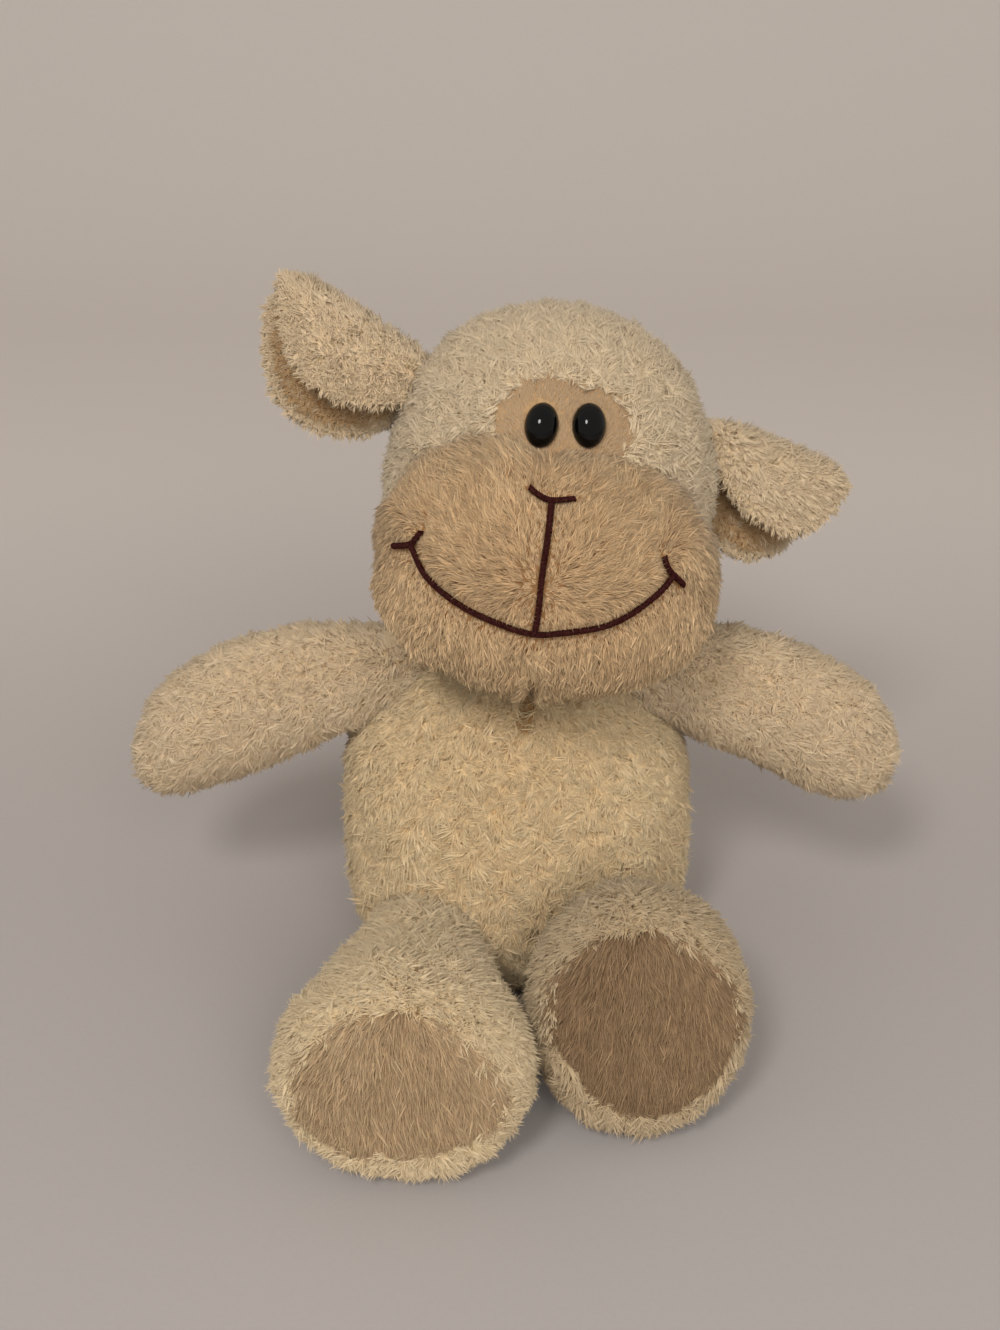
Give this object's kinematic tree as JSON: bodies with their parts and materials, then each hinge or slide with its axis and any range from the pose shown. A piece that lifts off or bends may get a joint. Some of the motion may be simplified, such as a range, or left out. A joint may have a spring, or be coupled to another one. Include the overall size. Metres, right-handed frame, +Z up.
{
  "type": "plush sheep",
  "caption": "Seated plush sheep with cream pile, a broad tan muzzle, a stitched smile and black eyes. Its head, limbs, folded ears and tail turn in their seams.",
  "frame": {"origin": "middle of the flat seat under the torso, on the surface it sits on", "axes": "+Z up, -Y towards the toes and the face, +X towards the sheep's own left"},
  "size_m": [0.234, 0.174, 0.2101],
  "materials": {
    "cream_pile": "long curly pile, matt",
    "pale_pile": "combed pile, matt",
    "tan_pile": "short pile, matt",
    "gold_pile": "short pile, matt",
    "stuffing": "fibre filling",
    "bean_cloth": "plain woven bag of beads",
    "eye_gloss": "black gloss",
    "washer": "matt",
    "dark_thread": "satin stitch"
  },
  "bodies": {
    "torso": {"torso_cover_front": "cream_pile", "torso_cover_back": "cream_pile", "torso_stuffing": "stuffing", "bean_bag": "bean_cloth"},
    "neck": {"neck_gather": "cream_pile"},
    "head": {"head_cover_left": "cream_pile", "head_cover_right": "cream_pile", "face_patch": "gold_pile", "muzzle_panel": "tan_pile", "head_stuffing": "stuffing", "eye_left": "eye_gloss", "eye_right": "eye_gloss", "eye_washer_left": "washer", "eye_washer_right": "washer", "nose_stitching": "dark_thread", "mouth_stitching": "dark_thread"},
    "ear_left": {"ear_left_outer": "cream_pile", "ear_left_lining": "tan_pile"},
    "ear_right": {"ear_right_outer": "cream_pile", "ear_right_lining": "tan_pile"},
    "shoulder_left": {"shoulder_left_gather": "pale_pile"},
    "shoulder_right": {"shoulder_right_gather": "pale_pile"},
    "arm_left": {"arm_left_cover": "pale_pile", "arm_left_stuffing": "stuffing"},
    "arm_right": {"arm_right_cover": "pale_pile", "arm_right_stuffing": "stuffing"},
    "hip_left": {"hip_left_gather": "cream_pile"},
    "hip_right": {"hip_right_gather": "cream_pile"},
    "leg_left": {"leg_left_cover": "cream_pile", "sole_left": "tan_pile", "leg_left_stuffing": "stuffing"},
    "leg_right": {"leg_right_cover": "cream_pile", "sole_right": "tan_pile", "leg_right_stuffing": "stuffing"},
    "tail": {"tail": "cream_pile"}
  },
  "joints": [
    {"name": "head_turn", "type": "hinge", "parent": "torso", "child": "neck", "pos_m": [0.004, 0.01408, 0.106], "axis": [0, 0, 1], "range_deg": [-25, 25], "stiffness_Nm_per_rad": 0.3},
    {"name": "head_nod", "type": "hinge", "parent": "neck", "child": "head", "pos_m": [0.004, 0.01408, 0.106], "axis": [1, 0, 0], "range_deg": [-15, 10], "stiffness_Nm_per_rad": 0.5},
    {"name": "ear_left_flap", "type": "hinge", "parent": "head", "child": "ear_left", "pos_m": [0.05325, 0.02102, 0.15894], "axis": [-0.2233, -0.5995, -0.7686], "range_deg": [-25, 25], "stiffness_Nm_per_rad": 0.05},
    {"name": "ear_right_flap", "type": "hinge", "parent": "head", "child": "ear_right", "pos_m": [-0.0298, 0.0243, 0.17624], "axis": [-0.4958, -0.5798, -0.6466], "range_deg": [-25, 25], "stiffness_Nm_per_rad": 0.05},
    {"name": "arm_left_swing", "type": "hinge", "parent": "torso", "child": "shoulder_left", "pos_m": [0.03169, 0.01364, 0.0961], "axis": [0, 0, 1], "range_deg": [-25, 25], "stiffness_Nm_per_rad": 0.25},
    {"name": "arm_left_lift", "type": "hinge", "parent": "shoulder_left", "child": "arm_left", "pos_m": [0.03169, 0.01364, 0.0961], "axis": [0, -1, 0], "range_deg": [-25, 25], "stiffness_Nm_per_rad": 0.25},
    {"name": "arm_right_swing", "type": "hinge", "parent": "torso", "child": "shoulder_right", "pos_m": [-0.03169, 0.01364, 0.0961], "axis": [0, 0, 1], "range_deg": [-25, 25], "stiffness_Nm_per_rad": 0.25},
    {"name": "arm_right_lift", "type": "hinge", "parent": "shoulder_right", "child": "arm_right", "pos_m": [-0.03169, 0.01364, 0.0961], "axis": [0, 1, 0], "range_deg": [-25, 25], "stiffness_Nm_per_rad": 0.25},
    {"name": "leg_left_spread", "type": "hinge", "parent": "torso", "child": "hip_left", "pos_m": [0.03202, -0.01747, 0.0215], "axis": [0, 0, 1], "range_deg": [0, 20], "stiffness_Nm_per_rad": 0.25},
    {"name": "leg_left_raise", "type": "hinge", "parent": "hip_left", "child": "leg_left", "pos_m": [0.03202, -0.01747, 0.0215], "axis": [-1, 0, 0], "range_deg": [-12, 30], "stiffness_Nm_per_rad": 0.25},
    {"name": "leg_right_spread", "type": "hinge", "parent": "torso", "child": "hip_right", "pos_m": [-0.02804, -0.03402, 0.0265], "axis": [0, 0, -1], "range_deg": [0, 20], "stiffness_Nm_per_rad": 0.25},
    {"name": "leg_right_raise", "type": "hinge", "parent": "hip_right", "child": "leg_right", "pos_m": [-0.02804, -0.03402, 0.0265], "axis": [-1, 0, 0], "range_deg": [-12, 30], "stiffness_Nm_per_rad": 0.25},
    {"name": "tail_flap", "type": "hinge", "parent": "torso", "child": "tail", "pos_m": [0, 0.0437, 0.02575], "axis": [1, 0, 0], "range_deg": [-20, 40], "stiffness_Nm_per_rad": 0.03}
  ]
}
